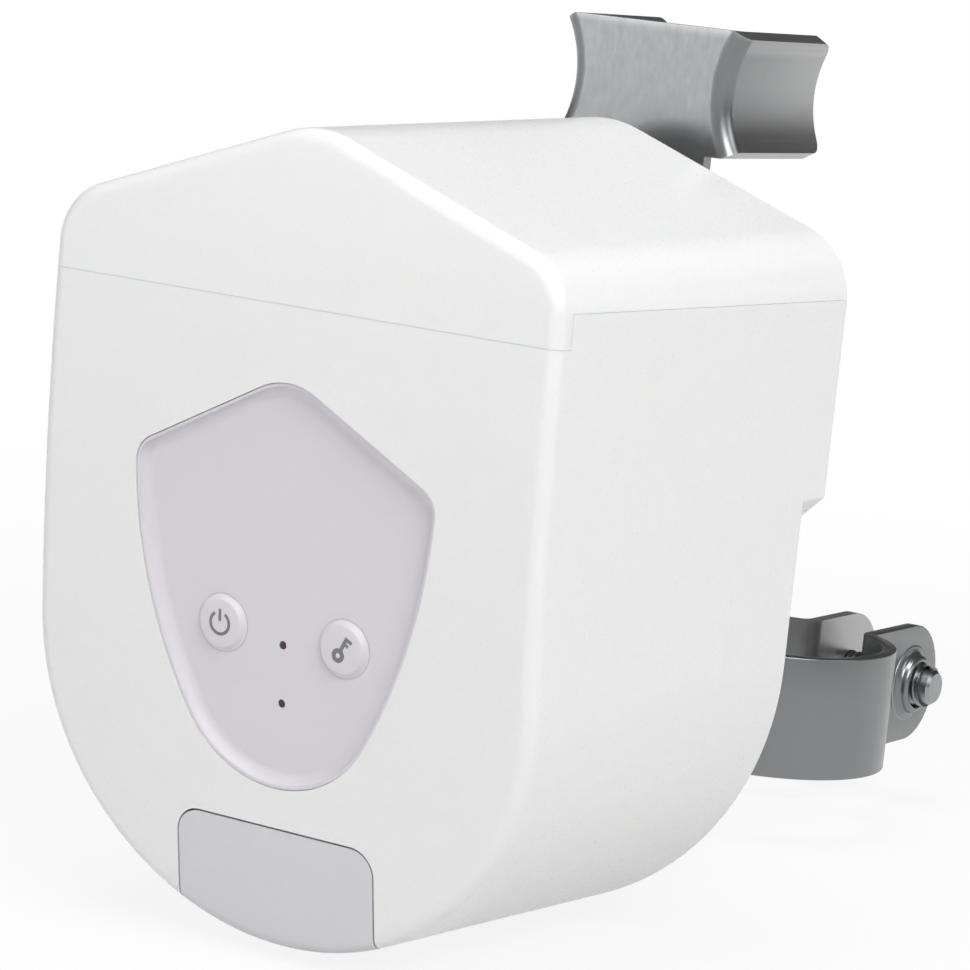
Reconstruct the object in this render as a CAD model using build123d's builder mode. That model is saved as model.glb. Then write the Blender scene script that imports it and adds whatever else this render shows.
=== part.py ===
"""Motor drive that clamps to a water pipe and turns the lever of a quarter-turn valve with a steel fork."""
import os
from math import acos, atan, cos, pi, radians, sin, sqrt, tan

from build123d import *

os.makedirs("parts", exist_ok=True)

# Row frame: the pipe's axis is Z, the clamp's mid height is zero, and the drive's face looks towards -Y.
# Places in the body are given as across, height and depth: height from the centre of its round bottom,
# depth backwards from the front face at that height.

# Body
half_width = 46.0
eave_height = 65.4
apex_height = 81.8
eave_radius = 10.0
apex_radius = 16.9
lower_depth = 74.3
step_depth = 7.0
upper_depth = lower_depth + step_depth
step_height = 27.2
boss_half_width = 27.0
draft_angle = 1.6
face_radius = 500.0
face_crown = 61.2
front_round = 2.3
wall = 2.4
fit_gap = 0.2
seam_gap = 0.1
overrun = 1.0

# Where the body stands behind the pipe
pipe_to_back = 91.7
clamp_drop = 24.4

# Top cap
seam_front = 54.2
seam_side = 59.4
apron_depth = 3.4
tongue_height = 3.0
tongue_wall = 1.2

# Sunk front panel
shield_half_width = 27.6
shield_shoulder = 29.3
shield_apex = 44.0
shield_apex_radius = 11.0
shield_shoulder_radius = 4.5
shield_foot_radius = 19.0
shield_foot_height = -1.4
shield_foot_angle = 60.0
panel_flange = 2.0
panel_flange_wall = 1.5
panel_set_back = 0.25
panel_rim = 0.45
dish_depth = 2.0
dish_cove = 1.8

# Buttons, switches and lights
button_across = 11.25
button_height = 3.6
button_radius = 4.5
button_gap = 0.08
button_round = 0.65
button_window_round = 0.12
button_proud = 0.5
button_travel = 0.5
button_lip = 0.9
button_lip_wall = 0.8
button_stem_radius = 1.6
light_heights = (2.1, -7.1)
light_radius = 0.6
light_sink = 0.7
light_foot_radius = 1.7
light_foot_length = 2.0

# Circuit board
board_depth = 15.0
board_wall = 1.6
board_half_width = 36.0
board_top = 42.0
board_foot = -14.0
board_corner = 6.0
board_post = (31.5, 36.0, -8.5)
post_radius = 3.6
switch_side = 6.0
switch_height = 3.6
plunger_radius = 1.75
plunger_height = 1.5
lamp_side = 2.4
lamp_height = 1.6
radio_at = (-17.0, 31.0)
radio_width = 18.0
radio_height = 13.0
radio_wall = 3.0
buzzer_at = (20.0, 31.0)
buzzer_radius = 6.0
buzzer_length = 7.0
capacitor_points = ((-29.0, 14.0), (-29.0, 4.0))
capacitor_radius = 4.0
capacitor_share = 0.47
socket_at = (29.0, 14.0)
socket_width = 8.0
socket_height = 12.0
socket_length = 6.0

# Gear train
output_height = 43.0
plate_wall = 1.6
plate_to_back = 8.3
train_length = 26.0
rear_plate = lower_depth - plate_to_back
front_plate = rear_plate - train_length
output_teeth = 48
output_module = 1.0
second_teeth = 36
second_pinion_teeth = 12
second_module = 0.8
first_teeth = 32
first_pinion_teeth = 12
first_module = 0.6
motor_teeth = 10
second_angle = -120.0
first_angle = -60.0
motor_angle = -20.0
pressure_angle = 20.0
backlash = 0.16
tip_share = 0.9
root_share = 1.25
stage_gap = 1.3
motor_stage_face = 3.4
middle_stage_face = 5.0
output_stage_face = 9.5
axle_radius = 2.0
output_hub_radius = 9.5
running_gap = 0.05
pillar_points = ((-28.0, 57.0), (28.0, 57.0), (-24.0, -14.0), (24.0, -14.0))
pillar_radius = 3.4
plate_pad_radius = 5.5
gearbox_screw_bite = 5.5
motor_radius = 13.0
motor_to_board = 3.4
motor_nose_radius = 4.0
motor_shaft_radius = 1.15
motor_edge = 1.5
motor_screw_radius = 1.25
motor_screw_head_radius = 2.3
motor_screw_length = 5.0
motor_screw_reach = 8.5
motor_screw_angle = 90.0
web_outer_radius = 19.5
web_recess = 2.4
web_hole_radius = 2.6
web_hole_count = 6
key_side = 3.0

# Output shaft and its boss
shaft_radius = 6.0
shaft_square = 8.0
bush_radius = 8.5
bush_length = 10.0
bush_flange_radius = 10.5
bush_flange_wall = 1.2
boss_radius = 16.0
boss_length = 9.4
seal_length = 2.6
shaft_bolt_radius = 2.5
shaft_bolt_head_radius = 4.4
shaft_bolt_head_height = 3.2
shaft_bolt_length = 16.0
shaft_washer_radius = 8.0
shaft_washer_wall = 1.2
magnet_radius = 3.0
magnet_wall = 2.0
shaft_overhang = 1.4
boss_round = 1.0
clip_radius = 8.8
clip_wall = 1.2
sensor_gap = 0.8
sensor_chip_wall = 1.2
sensor_post_across = 14.0
sensor_post_radius = 2.2

# Steel fork that holds the valve's lever
fork_sheet = 2.5
fork_stand_off = 3.4
fork_depth = upper_depth + boss_length + fork_stand_off
fork_length = 31.7
fork_height = 88.7
fork_waist = 15.2
fork_bow_radius = 18.9
fork_bow_angle = 29.8
fork_bend = 3.0
fork_corner = 2.6
neck_half_width = 12.4
arm_hub_radius = 14.0

# Pipe clamp
bore_radius = 19.5
strap = 2.5
strap_height = 22.5
arm_half_gap = 9.5
fixed_ear_across = -4.0
moving_ear_across = 9.15
ear_bend = 3.2
ear_round = 11.0
screw_across = 37.0
ear_end = 48.2
arm_bend = 6.0
foot_reach = 26.0
foot_bend = 3.75
pin_radius = 2.0
pin_angle = -95.0
strap_start_angle = -80.0
joggle_start = -50.0
joggle_end = -37.0
joggle_bend = 4.0
knuckle_gap = 0.15
curl_angle = 290.0
pin_head_radius = 3.2
pin_head_height = 1.2
clamp_screw_radius = 4.0
clamp_screw_tip = 16.0
clamp_screw_play = 0.5
burr_base_radius = 7.2
burr_top_radius = 5.4
burr_height = 3.0
burr_round = 1.2
head_across_flats = 13.0
head_height = 5.3
hexagon = 6
screw_chamfer = 0.6
washer_radius = 8.0
washer_wall = 1.6

# Mount plate that the body latches on to
mount_half_width = 28.0
mount_top = -7.0
mount_foot = -37.0
mount_wall = 2.5
mount_corner = 4.0
rivet_across = 19.5
rivet_spacing = 13.0
rivet_radius = 2.0
rivet_head_radius = 3.6
rivet_head_height = 1.4
hook_across = 16.0
hook_half_width = 5.0
hook_wall = 2.6
hook_lip = 2.4
hook_gap = 0.3

# Release tab, its bar and the latch
tab_half_width = 18.2
tab_top = -27.0
tab_corner = 4.0
tab_gap = 0.3
tab_lip_depth = 13.0
tab_travel = 2.5
release_bar_half_width = 4.0
release_bar_wall = 3.0
release_bar_top = -36.0
latch_half_width = 6.0
latch_wall = 4.0
latch_height = 17.0
latch_lip = 2.2
latch_nose_height = 4.0
bar_nose = 1.0
rail_wall = 2.0
peg_half_width = 2.0
peg_height = 2.0
spring_foot = -35.5
spring_length = 8.5
spring_wire = 0.3
spring_radius = 1.5
spring_pitch = 1.5

# Screws, inlet and rear cover
cover_wall = 2.5
cover_screw_points = ((-40.0, 37.0), (40.0, 37.0), (-29.0, -30.0), (29.0, -30.0))
cap_screw_points = ((-17.0, 68.5), (17.0, 68.5))
screw_post_radius = 4.2
screw_post_length = 26.0
screw_radius = 1.5
screw_head_radius = 2.9
screw_head_height = 2.0
screw_length = 14.0
screw_sink = 1.2
inlet_across = 35.5
inlet_height = -13.0
inlet_radius = 5.0
inlet_flange_radius = 6.2
inlet_flange_wall = 1.2
inlet_length = 13.0
inlet_pin_radius = 1.0
inlet_socket_radius = 2.75

# Axes and planes
BACK = (0, 1, 0)
body = Plane(origin=(0, -(pipe_to_back + lower_depth), clamp_drop), x_dir=(1, 0, 0), z_dir=(0, -1, 0))
side = Plane(origin=body.origin, x_dir=(0, 1, 0), z_dir=(1, 0, 0))
pipe = Plane.XY
cover_front = lower_depth - cover_wall
roof_slope = atan((apex_height - eave_height) / half_width)


def growth(depth):
    """How far the drafted walls have moved outwards at a depth."""
    return depth * tan(radians(draft_angle))


def face_depth(height, inset=0):
    """Depth of the curved front face, or of a surface inset behind it."""
    return sqrt(face_radius**2 - face_crown**2) - sqrt((face_radius - inset)**2 - (height - face_crown)**2)


fore = face_depth(face_crown) - overrun


def outline(grow):
    """Round bottom, upright sides and a gable roof with rounded corners, grown outwards."""
    width = half_width + grow
    apex = apex_height + grow / cos(roof_slope)
    eave = apex - width * tan(roof_slope)
    with BuildSketch() as shape:
        with BuildLine():
            CenterArc((0, 0), width, 180, 180)
            Polyline((width, 0), (width, eave), (0, apex), (-width, eave), (-width, 0))
        make_face()
        fillet(shape.vertices().group_by(Axis.Y)[1], radius=eave_radius + grow)
        fillet(shape.vertices().sort_by(Axis.Y)[-1], radius=apex_radius + grow)
    return shape.sketch


def envelope(inset, depth):
    """Space inside the body's outline, inset from its walls and its curved face, as far back as depth."""
    low = -(half_width + growth(depth) + overrun)
    high = apex_height + 2 * growth(depth) + overrun
    middle = (low + high) / 2
    with BuildPart() as space:
        for at in (fore, depth):
            with BuildSketch(body.offset(-at)):
                add(outline(growth(at) - inset))
        loft(ruled=True)
        with BuildSketch(side):
            with BuildLine():
                ThreePointArc((face_depth(low, inset), low), (face_depth(middle, inset), middle),
                              (face_depth(high, inset), high))
                Polyline((face_depth(high, inset), high), (depth, high), (depth, low),
                         (face_depth(low, inset), low))
            make_face()
        extrude(amount=2 * half_width, both=True, mode=Mode.INTERSECT)
    return space.part


def skin(start, end):
    """Space between two surfaces inset behind the curved front face."""
    low = -2 * half_width
    high = 2 * half_width
    with BuildPart() as space:
        with BuildSketch(side):
            with BuildLine():
                for inset in (start, end):
                    ThreePointArc((face_depth(low, inset), low), (face_depth(0, inset), 0),
                                  (face_depth(high, inset), high))
                for height in (low, high):
                    Line((face_depth(height, start), height), (face_depth(height, end), height))
            make_face()
        extrude(amount=2 * half_width, both=True)
    return space.part


def slab(profile, start, end):
    """A profile drawn across the body, extruded backwards from one depth to another."""
    with BuildPart() as block:
        with BuildSketch(body.offset(-start)):
            add(profile)
        extrude(amount=end - start, dir=BACK)
    return block.part


def rods(radius, start, end, *points):
    """Round bars that run backwards from one depth to another, at points across the body."""
    with BuildSketch() as rings:
        with Locations(*points):
            Circle(radius)
    return slab(rings.sketch, start, end)


def blocks(width, height, start, end, *points):
    """Square bars that run backwards from one depth to another, centred on points across the body."""
    with BuildSketch() as squares:
        with Locations(*points):
            Rectangle(width, height)
    return slab(squares.sketch, start, end)


def cut(shape):
    """Take a shape out of the piece that is being made."""
    add(shape, mode=Mode.SUBTRACT)


def webbed_post(point, anchor, radius):
    """Outline of a round post with a web that runs out to the wall."""
    with BuildSketch() as shape:
        with Locations(point, anchor):
            Circle(radius)
        make_hull()
    return shape.sketch


def below_step(shift, start):
    """Space under the deeper upper part, whose lower corners slope in at 45 degrees."""
    edge = half_width + growth(upper_depth)
    reach = edge + overrun
    foot = step_height - (edge - boss_half_width) + shift
    brink = step_height + overrun + shift
    with BuildSketch() as shape:
        with BuildLine():
            Polyline((-reach, brink), (-boss_half_width, foot), (boss_half_width, foot), (reach, brink),
                     (reach, -2 * half_width), (-reach, -2 * half_width), close=True)
        make_face()
    return slab(shape.sketch, start, upper_depth + overrun)


def above_seam(lower):
    """Space that the top cap takes, above a seam that steps up behind its front apron."""
    apron = face_depth(seam_front) + apron_depth + lower
    rear = upper_depth + overrun
    with BuildPart() as space:
        with BuildSketch(side):
            with BuildLine():
                foot = seam_front - lower
                step = seam_side - lower
                Polyline((fore, foot), (apron, foot), (apron, step), (rear, step), (rear, 2 * apex_height),
                         (fore, 2 * apex_height), close=True)
            make_face()
        extrude(amount=2 * half_width, both=True)
    return space.part


def shield(grow):
    """Outline of the sunk panel: a gable top, drawn-in sides and a round foot, grown outwards."""
    slope = atan((shield_apex - shield_shoulder) / shield_half_width)
    width = shield_half_width + grow
    apex = shield_apex + grow / cos(slope)
    shoulder = apex - width * tan(slope)
    with BuildSketch() as shape:
        with BuildLine():
            foot = CenterArc((0, shield_foot_height), shield_foot_radius + grow, -90 - shield_foot_angle,
                             2 * shield_foot_angle)
            right = TangentArc(foot @ 1, (width, shoulder), tangent=foot % 1)
            mirror(right, about=Plane.YZ)
            Polyline((width, shoulder), (0, apex), (-width, shoulder))
        make_face()
        fillet(shape.vertices().group_by(Axis.Y)[-2], radius=shield_shoulder_radius + grow)
        fillet(shape.vertices().sort_by(Axis.Y)[-1], radius=shield_apex_radius + grow)
    return shape.sketch


def tab_outline(grow):
    """Outline of the release tab, open at the foot, with round upper corners."""
    with BuildSketch() as shape:
        with BuildLine():
            side_line = tab_half_width + grow
            top_line = tab_top + grow
            Polyline((-side_line, -2 * half_width), (-side_line, top_line), (side_line, top_line),
                     (side_line, -2 * half_width), close=True)
        make_face()
        fillet(shape.vertices().group_by(Axis.Y)[-1], radius=tab_corner + grow)
    return shape.sketch


def tab_space(grow, lip):
    """Space that the release tab takes in the front wall and in the round bottom."""
    return slab(tab_outline(grow), fore, face_depth(-half_width) + lip)


def bent(path, low, high):
    """Strap bent along a path seen from above, between two heights on the pipe."""
    with BuildPart() as sheet:
        with BuildSketch(pipe.offset(low)):
            trace(path, line_width=strap)
        extrude(amount=high - low)
    return sheet.part


def bend(shape, corner, radius):
    """Round the corner of a path or a profile that lies nearest to a point."""
    fillet(shape.vertices().sort_by_distance(corner)[0], radius=radius)


def involute(angle):
    """The involute function, in radians."""
    return tan(angle) - angle


def toothed(teeth, module, turn):
    """Outline of a spur gear with a tooth at turn degrees, and three involute points on each flank."""
    pitch = teeth * module / 2
    base = pitch * cos(radians(pressure_angle))
    half_tooth = pi / (2 * teeth) - backlash * module / (2 * pitch) + involute(radians(pressure_angle))
    flank = [(pitch - root_share * module, half_tooth)]
    for radius in (pitch, pitch + tip_share * module):
        flank.append((radius, half_tooth - involute(acos(min(1, base / radius)))))
    points = []
    for tooth in range(teeth):
        middle = radians(turn) + 2 * pi * tooth / teeth
        for radius, half in flank:
            points.append((radius * cos(middle - half), radius * sin(middle - half)))
        for radius, half in reversed(flank):
            points.append((radius * cos(middle + half), radius * sin(middle + half)))
    with BuildSketch() as shape:
        with BuildLine():
            Polyline(*points, close=True)
        make_face()
    return shape.sketch


def gear(teeth, module, turn, centre, start, end):
    """A spur gear between two depths, about an axle at centre."""
    with BuildSketch() as shape:
        with Locations(centre):
            add(toothed(teeth, module, turn))
    return slab(shape.sketch, start, end)


def beside(centre, distance, angle):
    """The point at a distance and an angle from a centre."""
    return (centre[0] + distance * cos(radians(angle)), centre[1] + distance * sin(radians(angle)))


def save(part, name):
    """Label a finished piece and write it under that name."""
    part.label = name
    export_step(part, f"parts/{name}.step")


# Centres of the gear train, and the depths of its three stages
output_at = (0, output_height)
second_reach = (output_teeth + second_pinion_teeth) * output_module / 2
first_reach = (second_teeth + first_pinion_teeth) * second_module / 2
motor_reach = (first_teeth + motor_teeth) * first_module / 2
second_at = beside(output_at, second_reach, second_angle)
first_at = beside(second_at, first_reach, first_angle)
motor_at = beside(first_at, motor_reach, motor_angle)
front_plate_end = front_plate + plate_wall
rear_plate_end = rear_plate + plate_wall
motor_stage = front_plate_end + stage_gap
middle_stage = motor_stage + motor_stage_face + stage_gap
output_stage = middle_stage + middle_stage_face + stage_gap
output_stage_end = output_stage + output_stage_face
train_end = rear_plate - running_gap * 2
train_start = front_plate_end + running_gap * 2

# Body shells
outer = envelope(0, upper_depth)
cavity = envelope(wall, upper_depth + overrun)
wall_core = envelope(wall / 2, upper_depth)

with BuildPart() as shell:
    add(outer)
    fillet(shell.faces().sort_by(Axis.Y)[0].edges(), radius=front_round)
    cut(below_step(0, lower_depth))

with BuildPart() as wall_posts:
    for across, height in cover_screw_points:
        anchor = (across + screw_post_radius * across / abs(across), height)
        add(slab(webbed_post((across, height), anchor, screw_post_radius),
                 cover_front - fit_gap - screw_post_length, cover_front - fit_gap))
    add(wall_core, mode=Mode.INTERSECT)

with BuildPart() as board_posts:
    for across in (-board_post[0], board_post[0]):
        add(rods(post_radius, fore, board_depth,
                 (across, board_post[1]), (across, board_post[2])))
    add(wall_core, mode=Mode.INTERSECT)
    for across in (-board_post[0], board_post[0]):
        cut(rods(screw_radius, board_depth - screw_length / 2 + board_wall, board_depth,
                 (across, board_post[1]), (across, board_post[2])))

with BuildPart() as front_housing:
    add(shell.part)
    cut(cavity)
    add(wall_posts.part)
    add(board_posts.part)
    cut(above_seam(seam_gap))
    cut(slab(shield(0), fore, face_depth(-half_width, wall)))
    cut(tab_space(tab_gap, tab_lip_depth + tab_travel))
    cut(rods(screw_radius, cover_front - screw_length, cover_front, *cover_screw_points))
save(front_housing.part, "front_housing")

tongue_start = face_depth(seam_side, wall) + apron_depth
tongue_end = cover_front - wall - screw_post_radius


def tongue_band(core, foot, top):
    """Strip that follows the inside of the walls between two heights."""
    with BuildPart() as band:
        add(core)
        cut(tongue_bore)
        with BuildSketch(side):
            with Locations((tongue_start, foot)):
                Rectangle(tongue_end - tongue_start, top - foot, align=(Align.MIN, Align.MIN))
        extrude(amount=2 * half_width, both=True, mode=Mode.INTERSECT)
    return band.part


tongue_bore = envelope(wall + fit_gap + tongue_wall, cover_front)
cover_core = envelope(wall + fit_gap, upper_depth)

with BuildPart() as cap_posts:
    for across, height in cap_screw_points:
        add(slab(webbed_post((across, height), (across, height + 2 * screw_post_radius), screw_post_radius),
                 cover_front - fit_gap - screw_length, cover_front - fit_gap))
    add(wall_core, mode=Mode.INTERSECT)

with BuildPart() as top_cap:
    add(shell.part)
    cut(cavity)
    add(cap_posts.part)
    add(above_seam(0), mode=Mode.INTERSECT)
    add(tongue_band(wall_core, seam_side, seam_side + tongue_height))
    add(tongue_band(cover_core, seam_side - tongue_height, seam_side + tongue_height))
    cut(rods(screw_radius, cover_front - screw_length, cover_front, *cap_screw_points))
save(top_cap.part, "top_cap")

# Front panel with its shallow dish
with BuildPart() as dish:
    add(slab(shield(-fit_gap / 2 - panel_rim), fore, face_depth(-half_width, wall)))
    cut(envelope(dish_depth, upper_depth))
    fillet(dish.faces().sort_by(Axis.Y)[-1].edges(), radius=dish_cove)

panel_back = wall + panel_flange_wall
panel_space = slab(shield(panel_flange), fore, board_depth)
window_space = slab(shield(-fit_gap / 2), fore, board_depth)
button_points = ((-button_across, button_height), (button_across, button_height))
light_points = tuple((0, height) for height in light_heights)

with BuildPart() as flange_ring:
    add(skin(wall, panel_back))
    add(panel_space, mode=Mode.INTERSECT)

with BuildPart() as front_panel:
    add(skin(panel_set_back, panel_back))
    add(window_space, mode=Mode.INTERSECT)
    add(flange_ring.part)
    cut(dish.part)
    cut(rods(button_radius + button_gap, fore, board_depth, *button_points))
    fillet(front_panel.edges(Select.LAST).sort_by(Axis.Y)[:len(button_points)],
           radius=button_window_round)
    cut(rods(light_radius + running_gap, fore, board_depth, *light_points))
    for at in light_points:
        sink = face_depth(at[1], panel_back) - light_sink
        cut(rods(light_foot_radius, sink, board_depth, at))
save(front_panel.part, "front_panel")

# Buttons, each with its lip behind the panel and a stem down to its switch
switch_front = board_depth - switch_height
plunger_front = switch_front - plunger_height
plunger_end = board_depth - running_gap - 2 * button_travel
lip_start = panel_back + 2 * running_gap
for name, at in zip(("control", "reset"), button_points):
    with BuildPart() as button:
        add(skin(dish_depth - button_proud, lip_start))
        add(rods(button_radius, fore, board_depth, at), mode=Mode.INTERSECT)
        fillet(button.faces().sort_by(Axis.Y)[0].edges(), radius=button_round)
    with BuildPart() as lip:
        add(skin(lip_start, lip_start + button_lip_wall))
        add(rods(button_radius + button_lip, fore, board_depth, at), mode=Mode.INTERSECT)
    with BuildPart() as capped:
        add(button.part)
        add(lip.part)
        add(rods(button_stem_radius, face_depth(at[1], lip_start), plunger_front, at))
    save(capped.part, f"{name}_button")
    save(rods(plunger_radius, plunger_front, plunger_end, at), f"{name}_switch_plunger")

with BuildPart() as tact_switches:
    add(blocks(switch_side, switch_side, switch_front, board_depth, *button_points))
    cut(rods(plunger_radius + running_gap, switch_front, board_depth - running_gap, *button_points))
save(tact_switches.part, "tact_switches")

lamp_front = board_depth - lamp_height
with BuildPart() as light_guides:
    for at in light_points:
        add(rods(light_radius, face_depth(at[1], dish_depth) + light_sink, lamp_front - fit_gap, at))
        add(rods(light_foot_radius, face_depth(at[1], panel_back) - light_sink,
                 face_depth(at[1], panel_back) + light_foot_length, at))
save(light_guides.part, "light_guides")
save(blocks(lamp_side, lamp_side, lamp_front, board_depth, *light_points), "indicator_lamps")

# Circuit board with its parts
board_back = board_depth + board_wall
board_centre = (0, (board_top + board_foot) / 2)
board_screw_points = tuple((across, height) for across in (-board_post[0], board_post[0])
                           for height in board_post[1:])
with BuildSketch() as board_outline:
    with Locations(board_centre):
        RectangleRounded(2 * board_half_width, board_top - board_foot, board_corner)
with BuildPart() as circuit_board:
    add(slab(board_outline.sketch, board_depth, board_back))
    cut(rods(screw_radius + running_gap, board_depth, board_back, *board_screw_points))
save(circuit_board.part, "circuit_board")
with BuildPart() as board_screws:
    add(rods(screw_head_radius, board_back, board_back + screw_head_height, *board_screw_points))
    add(rods(screw_radius, board_back - screw_length / 2, board_back, *board_screw_points))
save(board_screws.part, "board_screws")
save(blocks(radio_width, radio_height, board_back, board_back + radio_wall, radio_at), "radio_module")
with BuildPart() as buzzer:
    add(rods(buzzer_radius, board_back, board_back + buzzer_length, buzzer_at))
    cut(rods(light_foot_radius, board_back + board_wall, board_back + buzzer_length, buzzer_at))
save(buzzer.part, "buzzer")
capacitor_end = board_back + capacitor_share * (front_plate - board_back)
save(rods(capacitor_radius, board_back, capacitor_end, *capacitor_points), "power_capacitors")
save(blocks(socket_width, socket_height, board_back, board_back + socket_length, socket_at), "motor_socket")

# Motor with its screws
motor_screw_points = tuple(beside(motor_at, motor_screw_reach, angle)
                           for angle in (motor_screw_angle, motor_screw_angle + 180))
motor_start = board_back + motor_to_board
motor_inside = motor_start + motor_edge
with BuildPart() as motor_case:
    add(rods(motor_radius, motor_start, front_plate, motor_at))
    chamfer(motor_case.faces().sort_by(Axis.Y)[0].edges(), length=motor_edge)
    add(rods(motor_nose_radius, front_plate, front_plate_end, motor_at))
    cut(rods(motor_shaft_radius + running_gap, motor_inside, front_plate_end, motor_at))
    cut(rods(motor_screw_radius, front_plate - motor_screw_length, front_plate, *motor_screw_points))
save(motor_case.part, "motor_case")
with BuildPart() as motor_screws:
    add(rods(motor_screw_radius, front_plate - motor_screw_length, front_plate, *motor_screw_points))
    add(rods(motor_screw_head_radius, front_plate, front_plate_end, *motor_screw_points))
save(motor_screws.part, "motor_screws")
motor_stage_end = motor_stage + motor_stage_face
save(rods(motor_shaft_radius, motor_inside + running_gap, motor_stage_end, motor_at), "motor_shaft")

# Gears, turned so that a tooth of one stands in a gap of the next
def meshed(teeth, angle):
    """Turn that puts a gap of a gear towards the mate that it follows."""
    return angle + 180 + 180 / teeth


with BuildPart() as motor_pinion:
    turn = meshed(motor_teeth, motor_angle)
    add(gear(motor_teeth, first_module, turn, motor_at, motor_stage, motor_stage_end))
    cut(rods(motor_shaft_radius, motor_stage, motor_stage_end, motor_at))
save(motor_pinion.part, "motor_pinion")

middle_stage_end = middle_stage + middle_stage_face
first_hub = first_pinion_teeth * second_module / 2 - root_share * second_module - running_gap
second_hub = second_pinion_teeth * output_module / 2 - root_share * output_module - running_gap
with BuildPart() as first_gear:
    add(gear(first_teeth, first_module, motor_angle, first_at, motor_stage, motor_stage_end))
    turn = meshed(first_pinion_teeth, first_angle)
    add(gear(first_pinion_teeth, second_module, turn, first_at, motor_stage_end, middle_stage_end))
    add(rods(first_hub, train_start, train_end, first_at))
    cut(rods(axle_radius + running_gap, train_start, train_end, first_at))
save(first_gear.part, "first_gear")

with BuildPart() as second_gear:
    add(gear(second_teeth, second_module, first_angle, second_at, middle_stage, middle_stage_end))
    turn = meshed(second_pinion_teeth, second_angle)
    add(gear(second_pinion_teeth, output_module, turn, second_at, middle_stage_end, output_stage_end))
    add(rods(second_hub, train_start, train_end, second_at))
    cut(rods(axle_radius + running_gap, train_start, train_end, second_at))
save(second_gear.part, "second_gear")

key_at = (0, output_height + shaft_radius)
with BuildPart() as output_gear:
    add(gear(output_teeth, output_module, second_angle, output_at, output_stage, output_stage_end))
    with BuildSketch() as web:
        with Locations(output_at):
            Circle(web_outer_radius)
            Circle(output_hub_radius, mode=Mode.SUBTRACT)
    cut(slab(web.sketch, output_stage, output_stage + web_recess))
    cut(slab(web.sketch, output_stage_end - web_recess, output_stage_end))
    with BuildSketch() as web_holes:
        with Locations(output_at):
            with PolarLocations((web_outer_radius + output_hub_radius) / 2, web_hole_count):
                Circle(web_hole_radius)
    cut(slab(web_holes.sketch, output_stage, output_stage_end))
    cut(rods(shaft_radius, output_stage, output_stage_end, output_at))
    cut(blocks(key_side, key_side, output_stage, output_stage_end, key_at))
save(output_gear.part, "output_gear")
save(blocks(key_side, key_side, output_stage, output_stage_end, key_at), "gear_key")

# Output shaft with its square end, clip, magnet, bushes and seal
shaft_start = front_plate - bush_flange_wall - shaft_overhang
boss_end = upper_depth + boss_length
seal_start = boss_end - seal_length
bush_start = seal_start - fit_gap - bush_length
fork_back = fork_depth + fork_sheet
bolt_seat = fork_back + shaft_washer_wall
bolt_end = bolt_seat - shaft_bolt_length
with BuildPart() as output_shaft:
    add(rods(shaft_radius, shaft_start, fork_depth, output_at))
    add(blocks(shaft_square, shaft_square, fork_depth, fork_back - fit_gap, output_at))
    cut(rods(shaft_bolt_radius, bolt_end, fork_back, output_at))
    cut(blocks(key_side, key_side, output_stage, output_stage_end, key_at))
save(output_shaft.part, "output_shaft")

with BuildPart() as shaft_clip:
    clip_end = bush_start - bush_flange_wall - fit_gap
    add(rods(clip_radius, clip_end - clip_wall, clip_end, output_at))
    cut(rods(shaft_radius, rear_plate, boss_end, output_at))
save(shaft_clip.part, "shaft_clip")
save(rods(magnet_radius, shaft_start - magnet_wall, shaft_start, output_at), "position_magnet")

for name, seat, end in (("front_bush", front_plate, front_plate_end),
                        ("rear_bush", bush_start, bush_start + bush_length)):
    with BuildPart() as bush:
        add(rods(bush_radius, seat, end, output_at))
        add(rods(bush_flange_radius, seat - bush_flange_wall, seat, output_at))
        cut(rods(shaft_radius + running_gap, seat - bush_flange_wall, end, output_at))
    save(bush.part, name)

with BuildPart() as shaft_seal:
    add(rods(bush_radius, seal_start, boss_end, output_at))
    cut(rods(shaft_radius + running_gap, seal_start, boss_end, output_at))
save(shaft_seal.part, "shaft_seal")

# Position sensor, which reads the magnet on the shaft's front end
sensor_back = shaft_start - magnet_wall - sensor_gap - sensor_chip_wall
with BuildSketch() as sensor_outline:
    with Locations(output_at):
        RectangleRounded(2 * (sensor_post_across + post_radius), 2 * post_radius, post_radius - running_gap)
with BuildPart() as sensor_board:
    add(slab(sensor_outline.sketch, sensor_back - board_wall, sensor_back))
    add(blocks(switch_side, switch_side, sensor_back, sensor_back + sensor_chip_wall, output_at))
save(sensor_board.part, "sensor_board")
sensor_points = ((-sensor_post_across, output_height), (sensor_post_across, output_height))
save(rods(sensor_post_radius, sensor_back, front_plate, *sensor_points), "sensor_spacers")

# Gearbox frame: two plates, four pillars with long screws, and fixed axles
with BuildSketch() as plate_outline:
    with Locations(*pillar_points):
        Circle(plate_pad_radius)
    make_hull()
axle_points = (first_at, second_at)
with BuildPart() as gearbox_front_plate:
    add(slab(plate_outline.sketch, front_plate, front_plate_end))
    cut(rods(bush_radius, front_plate, train_start, output_at))
    cut(rods(motor_nose_radius, front_plate, train_start, motor_at))
    cut(rods(motor_screw_head_radius, front_plate, train_start, *motor_screw_points))
    cut(rods(axle_radius, front_plate, train_start, *axle_points))
    cut(rods(screw_radius, front_plate, train_start, *pillar_points))
save(gearbox_front_plate.part, "gearbox_front_plate")
with BuildPart() as gearbox_rear_plate:
    add(slab(plate_outline.sketch, rear_plate, rear_plate_end))
    cut(rods(bush_radius, rear_plate, rear_plate_end, output_at))
    cut(rods(axle_radius, rear_plate, rear_plate_end, *axle_points))
    cut(rods(screw_radius, rear_plate, rear_plate_end, *pillar_points))
save(gearbox_rear_plate.part, "gearbox_rear_plate")
with BuildPart() as gearbox_pillars:
    add(rods(pillar_radius, front_plate_end, rear_plate, *pillar_points))
    cut(rods(screw_radius, front_plate, rear_plate, *pillar_points))
save(gearbox_pillars.part, "gearbox_pillars")
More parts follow.
